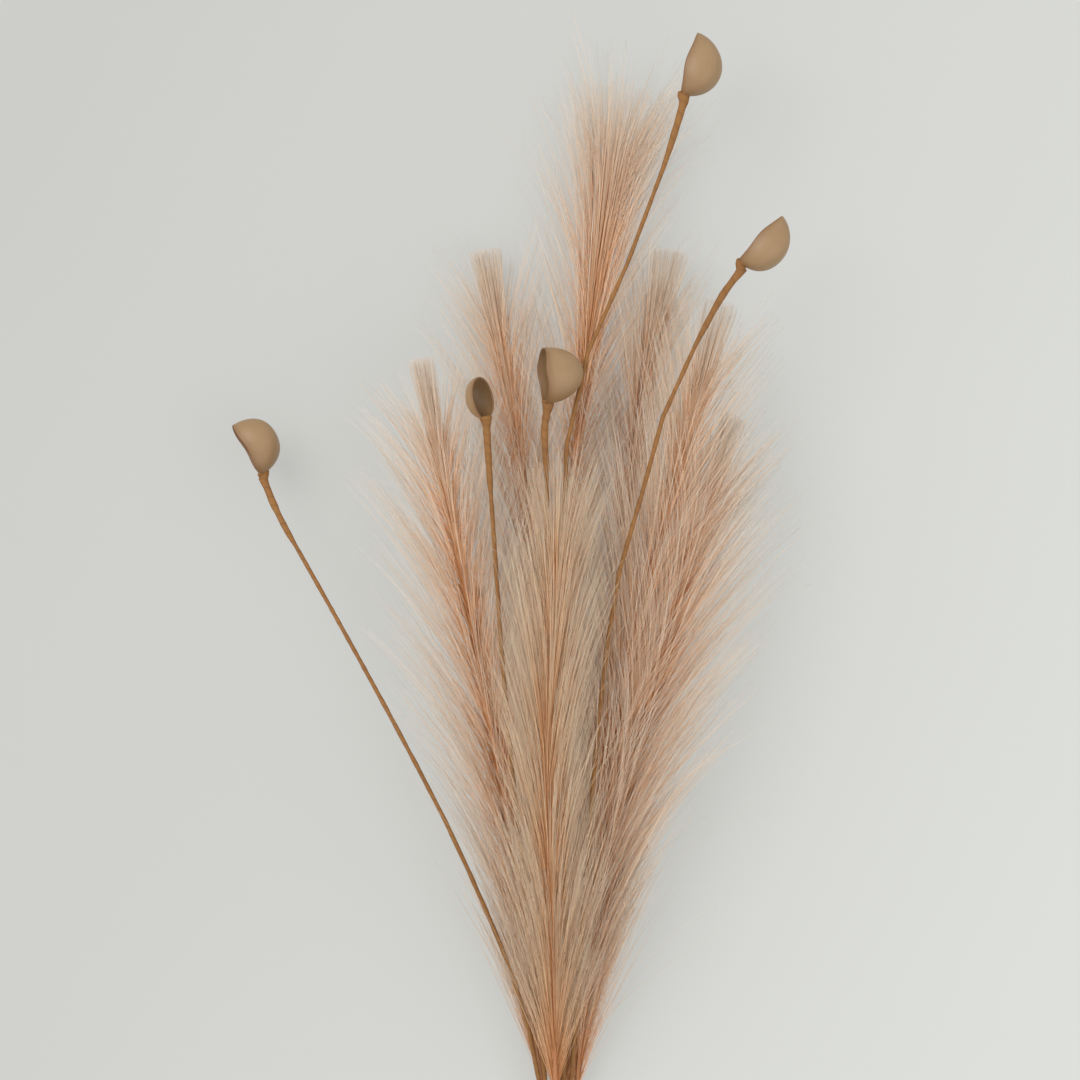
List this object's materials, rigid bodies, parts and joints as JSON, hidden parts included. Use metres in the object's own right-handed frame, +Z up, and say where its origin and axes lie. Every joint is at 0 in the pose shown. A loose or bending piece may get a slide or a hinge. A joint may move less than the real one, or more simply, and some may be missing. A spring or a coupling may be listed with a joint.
{
  "type": "bunch of dyed pampas-style plumes with cup pods",
  "caption": "Tied bunch of long peach-pink pampas-style plumes with dried cup pods on paper-wrapped wires, lying on its back.",
  "frame": {"origin": "middle of the bunch's bounding box, at the height of the table it lies on", "axes": "+Y from the cut ends to the tips, +Z up from the table, +X to the right seen from above"},
  "size_m": [0.396, 1.0066, 0.1402],
  "materials": {
    "filaments": "silky",
    "plume_stem": "satin",
    "pod_stem": "matt",
    "pod_shell": "satin",
    "twine": "matt"
  },
  "bodies": {
    "root": {"left_plume_stem": "plume_stem", "left_plume_filaments": "filaments", "back_left_plume_stem": "plume_stem", "back_left_plume_filaments": "filaments", "tall_plume_stem": "plume_stem", "tall_plume_filaments": "filaments", "back_right_plume_stem": "plume_stem", "back_right_plume_filaments": "filaments", "inner_right_plume_stem": "plume_stem", "inner_right_plume_filaments": "filaments", "outer_right_plume_stem": "plume_stem", "outer_right_plume_filaments": "filaments", "front_plume_stem": "plume_stem", "front_plume_filaments": "filaments", "left_pod_stem": "pod_stem", "left_pod_shell": "pod_shell", "small_pod_stem": "pod_stem", "small_pod_shell": "pod_shell", "centre_pod_stem": "pod_stem", "centre_pod_shell": "pod_shell", "top_pod_stem": "pod_stem", "top_pod_shell": "pod_shell", "right_pod_stem": "pod_stem", "right_pod_shell": "pod_shell", "twine_tie": "twine"}
  },
  "joints": []
}
